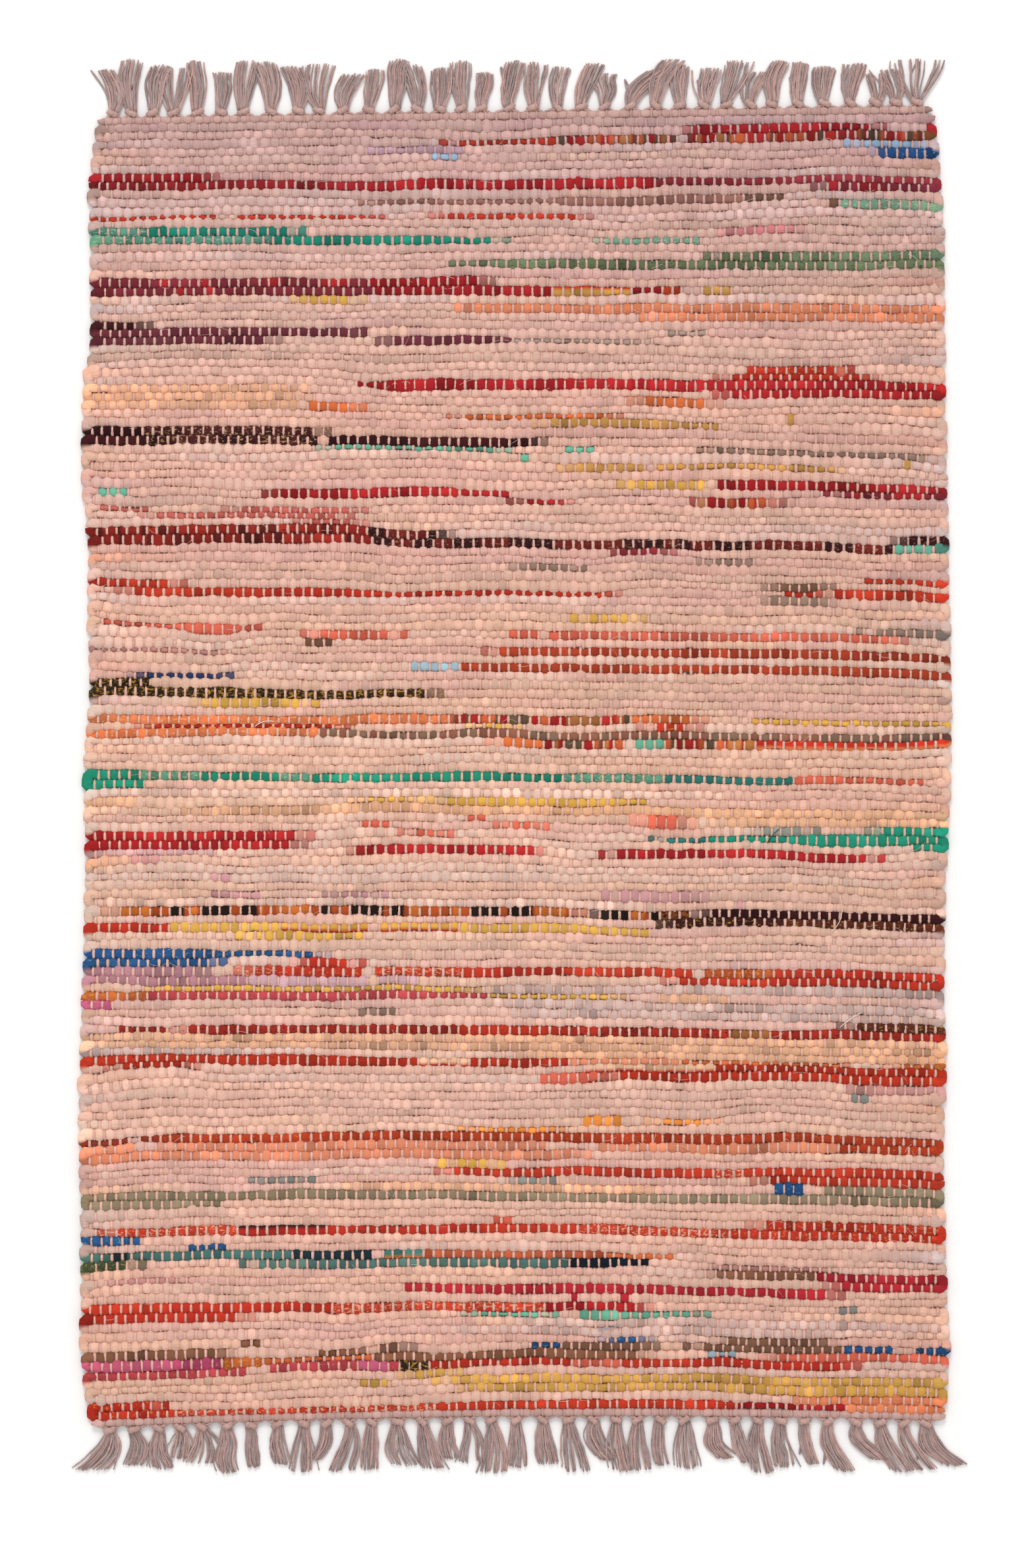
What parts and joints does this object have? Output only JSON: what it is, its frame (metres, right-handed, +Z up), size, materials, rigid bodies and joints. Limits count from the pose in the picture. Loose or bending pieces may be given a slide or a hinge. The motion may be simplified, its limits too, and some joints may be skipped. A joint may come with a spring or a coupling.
{
  "type": "rag rug",
  "caption": "Flat-woven cotton rag rug with multicoloured weft strips on a pale pink ground, plain headings and a knotted tassel fringe at both ends.",
  "frame": {"origin": "centre of the rug on the floor that it lies on, at the middle of the outer box", "axes": "+X across the rug along the weft, +Y along the rug along the warp, +Z up out of the pile side"},
  "size_m": [0.6293, 0.98, 0.0065],
  "materials": {
    "weft_rag": "torn cotton knit and woven strips packed into a plain weave; pale pink, peach and grey-white, with crimson, orange, yellow, green, blue, brown and lilac lengths; matt, soft, slightly frayed",
    "heading_yarn": "mauve-pink cotton yarn beaten close at both ends; matt",
    "warp_yarn": "twisted mauve-pink cotton warp yarn, knotted and cut as a brushed tassel fringe; matt with a faint sheen"
  },
  "bodies": {
    "root": {"weft_band_01": "weft_rag", "weft_band_02": "weft_rag", "weft_band_03": "weft_rag", "weft_band_04": "weft_rag", "weft_band_05": "weft_rag", "weft_band_06": "weft_rag", "weft_band_07": "weft_rag", "weft_band_08": "weft_rag", "weft_band_09": "weft_rag", "weft_band_10": "weft_rag", "weft_band_11": "weft_rag", "weft_band_12": "weft_rag", "weft_band_13": "weft_rag", "weft_band_14": "weft_rag", "weft_band_15": "weft_rag", "weft_band_16": "weft_rag", "weft_band_17": "weft_rag", "weft_band_18": "weft_rag", "weft_band_19": "weft_rag", "weft_band_20": "weft_rag", "weft_band_21": "weft_rag", "weft_band_22": "weft_rag", "near_heading": "heading_yarn", "far_heading": "heading_yarn", "warp_bundle_01": "warp_yarn", "warp_bundle_02": "warp_yarn", "warp_bundle_03": "warp_yarn", "warp_bundle_04": "warp_yarn", "warp_bundle_05": "warp_yarn", "warp_bundle_06": "warp_yarn", "warp_bundle_07": "warp_yarn", "warp_bundle_08": "warp_yarn", "warp_bundle_09": "warp_yarn", "warp_bundle_10": "warp_yarn", "warp_bundle_11": "warp_yarn", "warp_bundle_12": "warp_yarn", "warp_bundle_13": "warp_yarn", "warp_bundle_14": "warp_yarn", "warp_bundle_15": "warp_yarn", "warp_bundle_16": "warp_yarn", "warp_bundle_17": "warp_yarn", "warp_bundle_18": "warp_yarn", "warp_bundle_19": "warp_yarn", "warp_bundle_20": "warp_yarn", "warp_bundle_21": "warp_yarn", "warp_bundle_22": "warp_yarn", "warp_bundle_23": "warp_yarn", "warp_bundle_24": "warp_yarn", "warp_bundle_25": "warp_yarn", "warp_bundle_26": "warp_yarn", "warp_bundle_27": "warp_yarn", "warp_bundle_28": "warp_yarn", "warp_bundle_29": "warp_yarn", "warp_bundle_30": "warp_yarn", "warp_bundle_31": "warp_yarn", "warp_bundle_32": "warp_yarn", "warp_bundle_33": "warp_yarn", "warp_bundle_34": "warp_yarn", "warp_bundle_35": "warp_yarn"}
  },
  "joints": []
}
